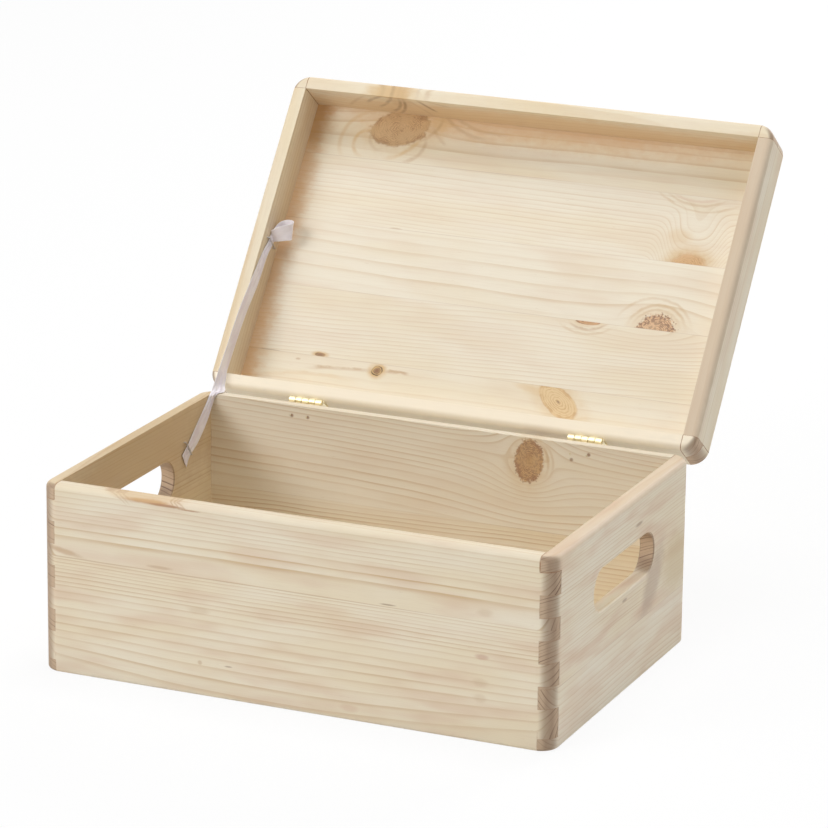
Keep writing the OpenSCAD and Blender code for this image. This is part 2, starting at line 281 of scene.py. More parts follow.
def board_axes(shader, board):
    """The shaded point's x, y and z with the lid shut, and how far it faces along the grain."""
    place = shader.add("ShaderNodeTexCoord", output=3)
    facing = shader.add("ShaderNodeTexCoord", output=1)
    if board.lid:
        turn = (math.radians(OPEN_ANGLE), 0, 0)
        hinge = Vector((0, HINGE_Y * MM, HINGE_Z * MM))
        back = hinge - Matrix.Rotation(turn[0], 3, "X") @ hinge
        shut = {"Vector": place, "Location": back, "Rotation": turn}
        place = shader.add("ShaderNodeMapping", {"vector_type": "POINT"}, shut)
        turned = {"Vector": facing, "Rotation": turn}
        facing = shader.add("ShaderNodeMapping", {"vector_type": "VECTOR"}, turned)
    x, y, z = (part * 1000 for part in shader.parts(place))
    along = abs(shader.parts(facing)[0 if board.grain == "x" else 1])
    return x, y, z, along


def joint_lines(x, y, z, board):
    """Where the dark hairlines of the finger joints and shoulders lie."""
    along, shoulder = (x, INNER_X) if board.grain == "x" else (y, INNER_Y)
    beyond = abs(along) - shoulder
    line = (abs(beyond) - z.ramp(*TOP_FINGER) * (0 if board.lid else 0.3)).ramp(0.34, 0.10)
    if board.lid:
        edge = abs(z - LID_FINGER)
    else:
        lowest = FINGER_EDGE - FINGER_PITCH / 2
        steps = (z.most(lowest) - FINGER_EDGE) / FINGER_PITCH + 0.5
        edge = (abs(steps.fract() - 0.5) * FINGER_PITCH).least(abs(z - LAST_FINGER))
        through = ((z - FINGER_EDGE) / (2 * FINGER_PITCH)).fract()
        butted = through.ramp(0.51, 0.49) if board.grain == "x" else through.ramp(0.49, 0.51)
        line = line * butted
    return (edge.ramp(0.30, 0.08) * beyond.ramp(-0.2, 0.0)).most(line)


def shut_box(name):
    """The lowest and highest corners of a board in millimetres, with the lid shut."""
    node = name.removeprefix("pine_")
    points = np.array([v.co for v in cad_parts[node].data.vertices]) / MM
    if node.startswith("lid"):
        turn = math.radians(OPEN_ANGLE)
        dy, dz = points[:, 1] - HINGE_Y, points[:, 2] - HINGE_Z
        points[:, 1] = HINGE_Y + dy * math.cos(turn) - dz * math.sin(turn)
        points[:, 2] = HINGE_Z + dy * math.sin(turn) + dz * math.cos(turn)
    return points.min(0), points.max(0)


def ring_list(board, name, seed):
    """The rings' distances from the log's middle and how dark each is, over the whole board."""
    low, high = shut_box(name)
    v_axis = 1 if board.flat else 2
    w_axis = 2 if board.flat else (1 if board.grain == "x" else 0)
    spans = [(low[axis] - 14 - p, high[axis] + 14 - p) for axis, p in zip((v_axis, w_axis), board.pith)]
    near = math.hypot(*(max(a, -b, 0) for a, b in spans))
    far = math.hypot(*(max(abs(a), abs(b)) for a, b in spans))
    pick = random.Random(seed)
    rings = sorted((math.hypot(v - board.pith[0], board.face - board.pith[1]), strength)
                   for v, strength in board.lines)
    if not rings:
        rings = [((near + far) / 2, 0.6)]
    while rings[0][0] > near:
        rings.insert(0, (rings[0][0] - board.spacing * pick.uniform(0.65, 1.35), pick.uniform(0.25, 1)))
    while rings[-1][0] < far:
        rings.append((rings[-1][0] + board.spacing * pick.uniform(0.65, 1.35), pick.uniform(0.25, 1)))
    return rings


def log_rings(s, board, name, seed, away_v, away_w):
    """How far the point is through its year's ring, from 0 to 1, and how dark that ring ends."""
    rings = ring_list(board, name, seed)
    low, high, last = rings[0][0], rings[-1][0], len(rings) - 1
    reach = (away_v * away_v + away_w * away_w).root()
    share = (reach - low) / (high - low)
    places = [(distance - low) / (high - low) for distance, _ in rings]
    count = share.curve([(place, i / last) for i, place in enumerate(places)]) * last
    darkness = share.curve([(place, strength) for place, (_, strength) in zip(places, rings)])
    return count.fract(), darkness


def pine(name, board, seed):
    """Solid pine: rings round the log's middle, knots, fibres, darker end grain, and painted shade down
    the rounded corners.
    """
    s = Shader(name)
    x, y, z, end_on = board_axes(s, board)
    if board.flat:
        u, v, w = x, y, z
    elif board.grain == "x":
        u, v, w = x, z, y
    else:
        u, v, w = y, z, x

    # the grain drifts and wanders along the board, and parts round its knots or bends past them
    wander = s.noise(s.vector(u / 140, v / 55 + seed, w / 55), 2.0) - 0.5
    ripple = s.noise(s.vector(u / 30, v / 9 + seed, w / 9), 2.0) - 0.5
    across = v + u * board.slope + wander * board.wave + ripple * (board.wave * 0.2)
    bend, plain_at, full_at = board.curl
    if bend:
        across = across - (u * u) * bend * v.ramp(plain_at, full_at)
    for k in board.knots:
        du, dv = k.place(u, v)
        if k.part:
            across = across - dv * k.part / (k.far(u, v, 2.0, 1.25) + 0.55)
        if k.rise:
            fall = (du / k.reach[0]) ** 2 + (dv / k.reach[1]) ** 2
            across = across + (-(fall * fall if k.steep else fall)).exp() * k.rise

    # pale early wood darkens to a thin line of late wood
    part, darkness = log_rings(s, board, name, seed, across - board.pith[0], w - board.pith[1])
    late = (part.ramp(0.10, 0.97) * 0.32 + part.ramp(0.64, 0.93) * 0.68) * part.ramp(1.0, 0.95)
    patchy = s.noise(s.vector(u / 70, v / 16 + seed, w / 16), 2.0).ramp(0.32, 0.68, 0.6, 1.0)
    late = late * darkness * patchy

    # fibres and short resin ducts
    fibre = s.noise(s.vector(u / 18, v / 0.5 + seed, w / 0.5), 2.0, 0.6)
    duct = s.noise(s.vector(u / 5, v / 0.34, w / 0.34 + seed), 1.0).ramp(0.74, 0.82)
    cloud = s.noise(s.vector(u / 80, v / 22 + seed, w / 22), 2.0)
    blush = s.noise(s.vector(u / 55, v / 12, w / 12 - seed), 2.0)
    ragged = s.noise(s.vector(u / 7, v / 4 + seed, w / 4), 3.0, 0.6) - 0.5

    face = s.blend(cloud.ramp(0.3, 0.7, board.tone - 0.2, board.tone + 0.2), CREAM, HONEY)
    face = s.blend(blush.ramp(0.42, 0.72, 0.0, board.rose), face, ROSE)
    face = s.blend(late * (0.8 * board.contrast), face, LATE_WOOD)
    face = s.blend((fibre - 0.42) * 0.26 + duct * 0.3, face, FIBRE)
    inside = w.ramp(PANEL_INSIDE + 2, PANEL_INSIDE + 1) if board.lid and board.flat else 1.0
    for m in board.marks:
        soft = m.far(u, v).root() + (fibre - 0.5) * 0.3 + ragged * 0.7
        face = s.blend(soft.ramp(1.2, 0.4) * (inside * m.strength), face, m.colour)
    for k in board.knots:
        if k.cover:
            face = knot_colour(s, k, face, u, v, w, ragged, cloud, seed)
    for stroke in board.strokes:
        off_u, off_v = u - stroke.centre[0], v - stroke.centre[1] + ragged * 2.5
        aside = abs((off_u * off_u + off_v * off_v).root() - stroke.radius)
        to_u, to_v = u - stroke.middle[0], v - stroke.middle[1]
        along = (to_u * to_u + to_v * to_v).root() / stroke.length
        line = aside.ramp(stroke.half_width * 2.0, stroke.half_width * 0.2)
        broken = along.ramp(1.1, 0.5) * (ragged + patchy).ramp(0.4, 1.0, 0.35, 1.0)
        face = s.blend(line * broken * (stroke.strength * 0.75), face, stroke.colour)

    end = s.blend(late.ramp(0.1, 0.8) * 0.9, END_EARLY, END_LATE)
    end = s.blend((fibre - 0.4) * 0.3, end, END_LATE)
    colour = s.blend(end_on.ramp(0.15, 0.85), face, end)
    # painted shade down the rounded corners, between face and end grain, in the late end grain's colour
    corner_shade = end_on.ramp(0.12, 0.55) * end_on.ramp(0.99, 0.80)
    colour = s.blend(corner_shade * 0.42, colour, END_LATE)

    if not board.flat:
        filled = ragged.ramp(-0.15, 0.15, 0.12, 0.5)
        joints = joint_lines(x, y, z, board) * (filled + z.ramp(*TOP_FINGER) * 0.5)
        colour = s.blend(joints, colour, JOINT)
    for seam in board.seams:
        line = abs(v - seam).ramp(0.34, 0.06)
        colour = s.blend(line * cloud.ramp(0.35, 0.65, 0.02, 0.28), colour, JOINT)

    relief = late * 0.35 + fibre * 0.25 - duct * 0.5
    bump = s.add("ShaderNodeBump", inputs={"Strength": 0.3, "Distance": 0.0002, "Height": relief})
    rough = 0.58 - late * 0.08 + (fibre - 0.5) * 0.12
    return s.surface(Base_Color=colour, Roughness=rough, Normal=bump, IOR=1.45)


def knot_colour(s, knot, face, u, v, w, ragged, cloud, seed):
    """The face with a knot in it: amber round it, fine crooked rings in it and a broken rim."""
    grit = s.noise(s.vector(u / 1.3, v / 1.3 + seed, w / 1.3), 2.0) - 0.5
    patch = s.noise(s.vector(u / 6, v / 6 - seed, w / 6), 2.0)
    far = knot.far(u, v).root() + ragged * knot.ragged + (patch - 0.5) * 0.15
    face = s.blend(far.ramp(2.1, 0.95) * knot.halo * patch.ramp(0.3, 0.6, 0.5, 1.0), face, AMBER)
    years = (far * (knot.short_r / 1.05) + grit * 0.5 + cloud * 2).fract()
    rings = years.ramp(0.30, 0.85) * years.ramp(1.0, 0.9) * patch.ramp(0.35, 0.6, 0.25, 0.85)
    wood = s.blend(rings + grit * 0.3, knot.wood, knot.heart)
    if knot.speckle:
        speck = s.noise(s.vector(u / 1.5, v / 1.5, w / 1.5), 1.0).ramp(0.48, 0.56)
        wood = s.blend(speck * far.ramp(0.3, 0.9, 0.45, 0.9) * knot.speckle, wood, FLECK)
        far = far + grit * (knot.speckle * 0.9)
    rim = far.ramp(0.72, 0.95) * patch.ramp(0.42, 0.58, 0.15, 1.0)
    wood = s.blend(rim * knot.rim, wood, knot.heart)
    if knot.dot:
        wood = s.blend(far.ramp(knot.dot * 2, knot.dot * 0.5), wood, RESIN)
    return s.blend(far.ramp(1 + knot.soft, 1 - knot.soft) * knot.cover, face, wood)


TAN_KNOT, TAN_HEART = linear(204, 166, 118), linear(158, 116, 74)
RED_KNOT, RED_HEART = linear(220, 180, 144), linear(150, 102, 74)
DARK_HEART = linear(92, 66, 44)
PALE_KNOT, PALE_HEART = linear(226, 198, 152), linear(200, 160, 112)

BOARDS = {
    "front_upper_board": Board(
        "x", (60, -60), 2.2, face=-100, wave=2.6, contrast=0.95, tone=0.35, rose=0.55, seams=[66.8],
        lines=[(67.4, 0.9), (79.4, 0.9), (83.8, 1.0), (88.4, 0.6), (90.6, 0.4), (93.0, 0.75),
               (95.6, 0.6), (98.3, 0.55), (101.2, 0.65), (104.0, 0.5)],
        marks=[
            Mark(-136, 70.2, 13, 1.9, STAIN, 0.5, turn=-10), Mark(-78, 69.2, 8, 1.0, STAIN, 0.4),
            Mark(55.5, 68.2, 5, 0.5, RESIN, 0.6), Mark(111, 72, 5, 2.4, STAIN, 0.22),
            Mark(-85, 105.2, 17, 1.3, linear(196, 150, 106), 0.9),
            Mark(-74, 104.4, 12, 0.8, linear(170, 124, 88), 0.8),
            Mark(-60, 103.6, 7, 0.5, linear(178, 132, 98), 0.7), Mark(-88, 107, 24, 2.6, AMBER, 0.45),
        ],
        strokes=[
            Stroke((-116, 107.4), (-106, 106.4), (-100.5, 104.0), 0.8, 0.3, STAIN),
            Stroke((-113, 107.6), (-103.5, 106.7), (-98.5, 104.4), 0.8, 0.3, STAIN),
            Stroke((-109, 107.8), (-101, 106.9), (-96, 104.8), 0.7, 0.3, STAIN),
            Stroke((-74, 107.6), (-70.8, 106.0), (-69.5, 104.2), 0.7, 0.3, STAIN),
            Stroke((-72, 107.6), (-68.4, 106.0), (-66.5, 104.0), 0.7, 0.3, STAIN),
            Stroke((-70, 107.6), (-65.6, 105.8), (-62.5, 103.8), 0.7, 0.3, STAIN),
        ]),
    "front_lower_board": Board(
        "x", (-12, -55), 2.6, face=-100, curl=(0.00045, 36, 6), wave=2.6, contrast=0.9, tone=0.35,
        rose=0.6, seams=[66.8],
        lines=[(3.5, 0.6), (10.5, 0.8), (17.2, 0.55), (22.9, 0.6), (28.3, 0.8), (33.6, 0.65),
               (38.2, 0.6), (43.4, 0.5), (47.0, 0.7), (50.6, 0.9), (52.7, 1.0), (55.5, 0.9),
               (57.9, 0.8), (60.0, 0.7), (61.8, 0.45), (63.6, 0.9), (65.6, 0.8)],
        marks=[
            Mark(110, 47.5, 4.5, 1.7, linear(194, 148, 126), 0.5),
            Mark(109, 33, 5, 2.6, STAIN, 0.2), Mark(109, 24.5, 4.5, 2.6, STAIN, 0.2),
            Mark(34, 7, 6, 2.6, linear(206, 164, 136), 0.3), Mark(-55, 48.5, 8, 2.5, STAIN, 0.22),
            Mark(-37, 19.2, 2.6, 0.5, RESIN, 0.5), Mark(-54, 19, 1.4, 1.4, STAIN, 0.4),
        ]),
    "back_upper_board": Board(
        "x", (40, 150), 2.2, slope=0.03, wave=4.0, contrast=0.8, tone=0.0, seams=[53],
        knots=[Knot(56.6, 93.5, 8.4, 12.5, TAN_KNOT, RED_HEART, part=1.2, speckle=0.5, halo=0.35,
                    rim=0.7, turn=-8)],
        marks=[
            Mark(56.8, 94.5, 2.6, 5.5, RESIN, 0.7), Mark(-90.1, 100.8, 1.2, 1.2, RESIN, 0.8),
            Mark(-80.0, 100.9, 1.2, 1.2, RESIN, 0.8), Mark(82.0, 97.7, 1.2, 1.2, RESIN, 0.7),
            Mark(92.2, 101.8, 1.2, 1.2, RESIN, 0.8),
        ],
        strokes=[
            Stroke((64, 104), (68, 95), (66, 84), 0.5), Stroke((66, 104), (71, 95), (68, 84), 0.4),
        ]),
    "back_lower_board": Board("x", (-80, 130), 2.8, slope=-0.02, tone=0.4, seams=[53]),
    "left_upper_board": Board(
        "y", (170, -120), 2.6, slope=0.02, tone=0.95, seams=[41],
        # its one mark is painted shade across the wall's upper part, in the stain colour
        marks=[Mark(0, 90, 130, 40, STAIN, 0.4)]),
    "left_lower_board": Board("y", (-60, -170), 2.7, slope=-0.02, tone=0.9, seams=[41]),
    "right_upper_board": Board(
        "y", (-14, 176), 2.0, slope=0.012, wave=3.0, contrast=0.85, tone=0.3, rose=0.9, seams=[34.5],
        marks=[
            # the first mark is painted shade beside the hand hold
            Mark(43, 51, 27, 12, linear(184, 158, 138), 0.55, turn=50),
            Mark(80, 52, 27, 18, linear(212, 190, 148), 0.6),
            Mark(20.0, 90.6, 6.0, 1.2, RESIN, 0.55), Mark(1.0, 53.3, 4.0, 1.0, RESIN, 0.5),
            Mark(-21, 61, 22, 3.5, linear(226, 204, 150), 0.5),
            Mark(0, 108, 220, 5, RIM_SHADE, 0.6),
        ]),
    "right_lower_board": Board(
        "y", (60, 190), 2.6, face=150, slope=0.004, wave=3.0, contrast=0.7, tone=0.1, rose=0.6,
        seams=[34.5],
        lines=[(1.8, 0.7), (4.4, 0.9), (6.6, 0.9), (9.8, 0.8), (12.8, 0.8), (15.8, 0.7),
               (17.9, 0.8), (20.6, 0.4), (23.7, 0.7), (27.4, 0.35), (31.2, 0.45)]),
    "bottom_panel": Board("x", (10, -60), 3.5, slope=0.01, contrast=0.9, flat=True),
    "lid_front_rail": Board(
        "x", (60, -90), 3.2, wave=4.0, contrast=0.7, tone=0.55, lid=True,
        knots=[Knot(-86, 104, 22, 14, PALE_KNOT, PALE_HEART, part=0.9, halo=0.3, cover=0)],
        marks=[
            Mark(0, 124, 220, 15, RAIL_SHADE, 0.5), Mark(-87, 106.5, 17, 3.2, AMBER, 0.75),
            Mark(-82, 112, 9, 9, TAN_KNOT, 0.4),
        ],
        strokes=[
            Stroke((-106, 119), (-99, 112), (-91, 107), 0.7, 0.9, RESIN),
            Stroke((-100, 124), (-91, 115), (-86, 107), 0.7, 0.9, RESIN),
            Stroke((-92, 128), (-84.5, 119), (-82, 107), 0.8, 0.9, RESIN),
            Stroke((-87, 129), (-81.5, 120), (-79.5, 107), 0.9, 0.8, RESIN),
            Stroke((-71, 107), (-66.5, 115), (-62, 122), 0.8, 0.9, RESIN),
            Stroke((-77, 107), (-71, 119), (-66, 128), 0.4, 0.7, STAIN),
            Stroke((-118, 124), (-112, 117), (-103, 108), 0.4, 0.9, STAIN),
            Stroke((-66, 106.0), (-60, 110), (-50, 113), 0.5, 0.9, STAIN),
        ]),
    "lid_back_rail": Board(
        "x", (160, 60), 3.0, contrast=0.25, tone=-0.1, rose=0.0, lid=True,
        marks=[Mark(0, 107.3, 220, 3.4, RIM_LIGHT, 0.8)]),
    "lid_left_rail": Board(
        "y", (180, -120), 2.6, tone=0.6, contrast=0.8, lid=True,
        # its mark is painted shade along the rail next to the panel, in the stain colour
        marks=[Mark(0, 124, 150, 14, STAIN, 0.25)]),
    "lid_right_rail": Board(
        "y", (60, 180), 2.4, contrast=0.7, tone=0.3, rose=0.4, lid=True,
        marks=[Mark(0, 106.6, 220, 4.2, LID_RIM_SHADE, 0.75)]),
    "lid_board_1": Board(
        "x", (-150, 190), 4.5, face=PANEL_INSIDE, wave=4.0, contrast=0.7, tone=0.4, rose=0.3, lid=True,
        flat=True, seams=[-60.4],
        lines=[(-89.5, 0.5), (-85.4, 0.7), (-79.3, 1.0), (-72.0, 0.8), (-66.5, 0.3)],
        knots=[Knot(-85.5, -82, 18.5, 11.5, TAN_KNOT, TAN_HEART, turn=-10, part=0.3, rise=4,
                    reach=(32, 17), halo=0.4, rim=0.7, ragged=0.5)],
        marks=[
            Mark(-146, -84, 18, 50, SHADE, 0.75), Mark(0, -100, 190, 22, SHADE, 0.5),
            Mark(-61, -88, 8, 5, AMBER, 0.6), Mark(-66, -83, 6, 4, STAIN, 0.25),
        ],
        strokes=[
            Stroke((-104, -91), (-120, -78), (-119, -62), 0.6, 1.1, AMBER),
            Stroke((-101, -79), (-112, -72), (-104, -61), 0.9, 1.0, AMBER),
            Stroke((-102.5, -78), (-101, -70), (-92, -67.5), 0.6, 0.9, STAIN),
            Stroke((-92, -61.5), (-79, -67), (-71, -76), 0.9, 1.1, AMBER),
            Stroke((-77, -61), (-70, -66), (-67.5, -78), 0.6, 1.0, STAIN),
            Stroke((-72, -75), (-64, -81), (-60, -91), 0.6, 0.9, STAIN),
            Stroke((-65, -84), (-60, -79), (-54, -74), 0.5, 0.8, STAIN),
            Stroke((-57, -91), (-46, -84), (-28, -81), 0.55, 0.9, STAIN),
            Stroke((-52, -92), (-38, -86.5), (-16, -85), 0.45, 0.9, STAIN),
        ]),
    "lid_board_2": Board(
        "x", (-140, 200), 2.6, face=PANEL_INSIDE, slope=-0.012, wave=3.0, contrast=0.55, tone=0.1,
        lid=True, flat=True, seams=[-60.4, -18.4],
        lines=[(-59.0, 0.4), (-56.2, 0.4), (-52.6, 1.0), (-49.4, 0.4), (-46.0, 0.9), (-43.2, 0.6),
               (-40.4, 0.7), (-37.5, 0.7), (-34.4, 0.8), (-31.6, 0.6), (-28.7, 0.7), (-26.2, 0.7),
               (-23.6, 0.6), (-21.0, 0.6), (-18.9, 0.5)],
        knots=[Knot(111, -18.0, 9.5, 7.0, linear(216, 176, 130), linear(184, 138, 92), part=0.3,
                    rise=-20, reach=(19, 34), steep=True, halo=0.7, rim=0.3, cover=0.9, ragged=0.6,
                    soft=0.3)],
        marks=[
            Mark(-146, -38, 17, 60, SHADE, 0.65), Mark(102, -35, 8, 6, AMBER, 0.3),
            Mark(-71, -18.6, 4, 0.7, STAIN, 0.4),
        ],
        strokes=[
            Stroke((93, -60.5), (106, -57.2), (122, -60.5), 0.7, 0.7, ROSE),
            Stroke((89, -60.5), (106, -54.8), (126, -60.5), 0.5, 0.6),
            Stroke((84, -60), (105, -51.5), (134, -58), 0.5, 0.6),
        ]),
    "lid_board_3": Board(
        "x", (120, 190), 5.0, face=PANEL_INSIDE, slope=-0.025, wave=4.0, contrast=0.55, tone=0.0,
        rose=0.25, lid=True, flat=True, seams=[-18.4, 23.7],
        lines=[(-14.7, 0.5), (-9.0, 0.5), (-3.0, 0.7), (5.2, 0.75), (12.8, 1.0), (20.5, 0.3)],
        knots=[
            Knot(101.9, 24.5, 11.5, 10.2, linear(222, 184, 144), RED_HEART, part=0.9, rise=3,
                 reach=(20, 15), halo=0.35, speckle=0.9, rim=0.1, ragged=0.3),
            Knot(59.5, 25.2, 9, 2.6, RED_KNOT, DARK_HEART, part=0.5, halo=0.4, cover=0),
        ],
        marks=[Mark(-146, 3, 17, 60, SHADE, 0.65)],
        strokes=[
            Stroke((84, 22), (101, 8.5), (119.5, 23), 0.7, 0.7),
            Stroke((87.5, 21), (101, 11.5), (116, 22), 0.5, 0.6),
            Stroke((78, 17), (100, 4.6), (123, 21), 0.5, 0.7),
        ]),
    "lid_board_4": Board(
        "x", (150, 175), 2.6, face=PANEL_INSIDE, slope=0.05, wave=4.0, contrast=0.6, tone=0.15,
        lid=True, flat=True, seams=[23.7, 65.8],
        lines=[(22.0, 0.5), (24.5, 0.5), (27.4, 0.6), (30.3, 0.5), (33.2, 0.6), (35.7, 0.7),
               (38.5, 0.6), (41.2, 0.7), (43.9, 0.9), (46.1, 0.7), (48.5, 0.8), (50.6, 0.6),
               (52.6, 0.8), (55.0, 0.6), (57.2, 0.7), (60.0, 0.6), (63.0, 0.6)],
        knots=[
            Knot(-95.9, 64.8, 3.4, 1.3, TAN_KNOT, DARK_HEART, part=0.3, halo=0.8, dot=0.5),
            Knot(101.9, 20, 14, 8, RED_KNOT, RED_HEART, part=1.1, halo=0, cover=0),
            Knot(60.5, 23.7, 7.5, 2.0, linear(206, 160, 116), RED_HEART, part=1.8, halo=0.5,
                 rim=0.6, ragged=0.2),
        ],
        marks=[
            Mark(-146, 45, 17, 60, SHADE, 0.65), Mark(-128, 65.9, 7, 0.6, RESIN, 0.5),
            Mark(60.5, 23.9, 5.5, 0.7, RED_HEART, 0.8),
        ],
        strokes=[
            Stroke((48, 24), (61, 28.5), (71, 25), 0.8, 0.6, STAIN),
            Stroke((42, 25), (60, 31.5), (76, 26), 0.5, 0.6),
        ]),
    "lid_board_5": Board(
        "x", (150, 190), 4.8, face=PANEL_INSIDE, slope=0.02, wave=5.0, contrast=0.5, tone=0.2,
        lid=True, flat=True, seams=[65.8],
        lines=[(69.0, 0.4), (74.0, 0.4), (79.5, 0.7), (84.0, 0.6), (88.4, 0.5)],
        knots=[
            Knot(55.4, 74.2, 15, 7.2, PALE_KNOT, PALE_HEART, turn=36, part=0.4, halo=0.4, rim=0.9,
                 ragged=0.25, dot=0.06),
            Knot(-58.4, 70.2, 3.5, 3.2, AMBER, linear(66, 50, 32), part=0.6, halo=1.0, rim=1.0,
                 ragged=0.6, dot=0.45, cover=1.0),
        ],
        marks=[
            Mark(-146, 80, 17, 60, SHADE, 0.65), Mark(-109, 69, 2, 0.8, STAIN, 0.5),
            Mark(38, 69, 14, 2.5, AMBER, 0.35, turn=12),
        ],
        strokes=[
            Stroke((-103, 73.8), (-82, 71.5), (-62, 70.6), 1.0, 0.9, STAIN),
            Stroke((-54, 70.0), (-46, 69.3), (-38, 70.0), 0.9, 0.8, STAIN),
            Stroke((-132, 82), (-104, 77.5), (-70, 78.5), 0.4, 0.9, AMBER),
        ]),
}

for seed, (node, board) in enumerate(BOARDS.items()):
    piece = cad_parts[node]
    piece.data.materials.clear()
    piece.data.materials.append(pine(f"pine_{node}", board, 3.7 * seed))


# ---------------------------------------------------------------- metal


def brushed_metal(name, colour, roughness):
    s = Shader(name)
    x, y, z = (part * 1000 for part in s.parts(s.add("ShaderNodeTexCoord", output=3)))
    scratch = s.noise(s.vector(x / 6, y / 0.15, z / 0.15), 2.0)
    rough = roughness + (scratch - 0.5) * 0.25
    bump = s.add("ShaderNodeBump", inputs={"Strength": 0.2, "Distance": 0.0001, "Height": scratch})
    return s.surface(Base_Color=colour, Metallic=1.0, Roughness=rough, Normal=bump)


brass = brushed_metal("plated_brass", linear(238, 226, 190), 0.42)
steel = brushed_metal("staple_wire", linear(206, 206, 208), 0.38)

for node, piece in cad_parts.items():
    if "hinge" in node:
        piece.data.materials.clear()
        piece.data.materials.append(brass)
    if "staple" in node:
        piece.data.materials.clear()
        piece.data.materials.append(steel)


# ---------------------------------------------------------------- ribbon

RIBBON_W, RIBBON_T = 10.0, 0.16
WALL_SIDE = -141.2

# The ribbon's two edges, from the tucked end of its loop on the lid to its end in the base: the
# upper edge's place, the lower edge's, and how far it is pleated between them.
RIBBON_EDGES = [
    ((-140.2, 168.6, 186.4), (-140.4, 172.0, 178.8), 0.35),
    ((-137.0, 168.6, 188.4), (-137.2, 171.2, 179.4), 0.15),
    ((-132.5, 170.6, 189.9), (-132.8, 171.6, 180.2), 0.0),
    ((-129.2, 174.6, 190.4), (-129.4, 173.6, 180.6), 0.0),
    ((-130.6, 178.9, 190.8), (-130.8, 175.6, 181.2), 0.0),
    ((-135.4, 180.6, 190.6), (-135.2, 176.9, 181.0), 0.1),
    ((-139.4, 178.4, 189.0), (-139.4, 176.2, 180.2), 0.3),
    ((-140.9, 172.5, 185.2), (-140.8, 174.2, 178.6), 0.8),
    ((-140.9, 166.4, 180.2), (-140.7, 169.8, 175.8), 1.0),
    ((WALL_SIDE, 159.4, 175.4), (-140.9, 163.8, 170.6), 0.8),
    ((WALL_SIDE, 146.2, 164.4), (-141.0, 152.4, 157.4), 0.3),
    ((WALL_SIDE, 128.6, 149.2), (WALL_SIDE, 135.6, 142.1), 0.0),
    ((WALL_SIDE, 112.4, 131.5), (WALL_SIDE, 119.6, 124.6), 0.0),
    ((WALL_SIDE, 104.5, 123.0), (-140.6, 112.0, 117.6), 0.0),
    ((WALL_SIDE, 100.7, 118.8), (-139.9, 109.0, 115.9), 0.1),
    ((WALL_SIDE, 97.0, 114.8), (-139.0, 105.8, 111.9), 0.2),
    ((WALL_SIDE, 94.0, 111.4), (-138.2, 103.0, 109.5), 0.3),
    ((WALL_SIDE, 92.0, 109.2), (-136.2, 99.4, 108.0), 0.4),
    ((WALL_SIDE, 90.4, 108.1), (-135.6, 95.6, 107.7), 0.5),
    ((WALL_SIDE, 88.6, 106.9), (-137.6, 91.2, 107.2), 0.7),
    ((WALL_SIDE, 86.0, 104.4), (-139.6, 90.4, 102.4), 0.7),
    ((WALL_SIDE, 78.6, 98.6), (-140.4, 84.0, 92.6), 0.3),
    ((-141.0, 68.0, 91.0), (-140.8, 73.6, 83.4), 0.1),
    ((-140.9, 60.4, 85.0), (-140.8, 64.4, 78.8), 0.4),
    ((-140.9, 56.9, 83.0), (-140.8, 61.0, 76.4), 0.4),
    ((-140.7, 52.8, 80.6), (-140.5, 57.6, 72.4), 0.1),
]


def smooth_way(stops, count):
    """Even places along a smooth line through the stops."""
    stops = np.array(stops, float)
    before, after = 2 * stops[0] - stops[1], 2 * stops[-1] - stops[-2]
    p = np.vstack((before, stops, after))
    fine = []
    for i in range(1, len(p) - 2):
        t = np.linspace(0, 1, 24, endpoint=False)[:, None]
        fine.append(0.5 * (2 * p[i] + (p[i + 1] - p[i - 1]) * t
                           + (2 * p[i - 1] - 5 * p[i] + 4 * p[i + 1] - p[i + 2]) * t * t
                           + (3 * p[i] - p[i - 1] - 3 * p[i + 1] + p[i + 2]) * t ** 3))
    fine = np.vstack((*fine, stops[-1:]))
    middle = (fine[:, :3] + fine[:, 3:6]) / 2
    run = np.r_[0, np.cumsum(np.linalg.norm(np.diff(middle, axis=0), axis=1))]
    even = np.linspace(0, run[-1], count)
    return np.column_stack([np.interp(even, run, column) for column in fine.T]), even


def make_ribbon():
    """A strip of satin with creases along it, pleated under the staples and at the rim."""
    count, wide = 300, 24
    way, run = smooth_way([(*upper, *lower, pleat) for upper, lower, pleat in RIBBON_EDGES], count)
    upper, lower, pleat = way[:, :3], way[:, 3:6], way[:, 6]
    middle = (upper + lower) / 2
    along = np.gradient(middle, axis=0)
    out = np.cross(lower - upper, along)
    out /= np.linalg.norm(out, axis=1)[:, None]
    side = np.linspace(0, 1, wide + 1)
    rows = []
    for i in range(count):
        folds = pleat[i] * 0.55 * np.sin(side * math.tau * 2.5 + 0.6 + run[i] * 0.05)
        crease = 0.10 * np.sin(run[i] * 0.19 + side * 5.0) + 0.06 * np.sin(run[i] * 0.7 + side * 9.0)
        lift = (folds + crease) * np.sin(side * math.pi).clip(0, 1) ** 0.5
        rows.append(upper[i] + (lower[i] - upper[i]) * side[:, None] + out[i] * lift[:, None])
    points = np.array(rows)
    mesh = bpy.data.meshes.new("satin_ribbon_stay")
    faces = [(a, a + 1, a + wide + 2, a + wide + 1)
             for i in range(count - 1) for a in range(i * (wide + 1), i * (wide + 1) + wide)]
    mesh.from_pydata((points.reshape(-1, 3) * MM).tolist(), [], faces)
    layer = mesh.uv_layers.new(name="weave")
    for loop in mesh.loops:
        i, j = divmod(loop.vertex_index, wide + 1)
        layer.data[loop.index].uv = (run[i] * MM, side[j] * RIBBON_W * MM)
    for face in mesh.polygons:
        face.use_smooth = True
    ribbon = bpy.data.objects.new("satin_ribbon_stay", mesh)
    bpy.context.scene.collection.objects.link(ribbon)
    skin = ribbon.modifiers.new("thickness", "SOLIDIFY")
    skin.thickness, skin.offset = RIBBON_T * MM, 0
    return ribbon


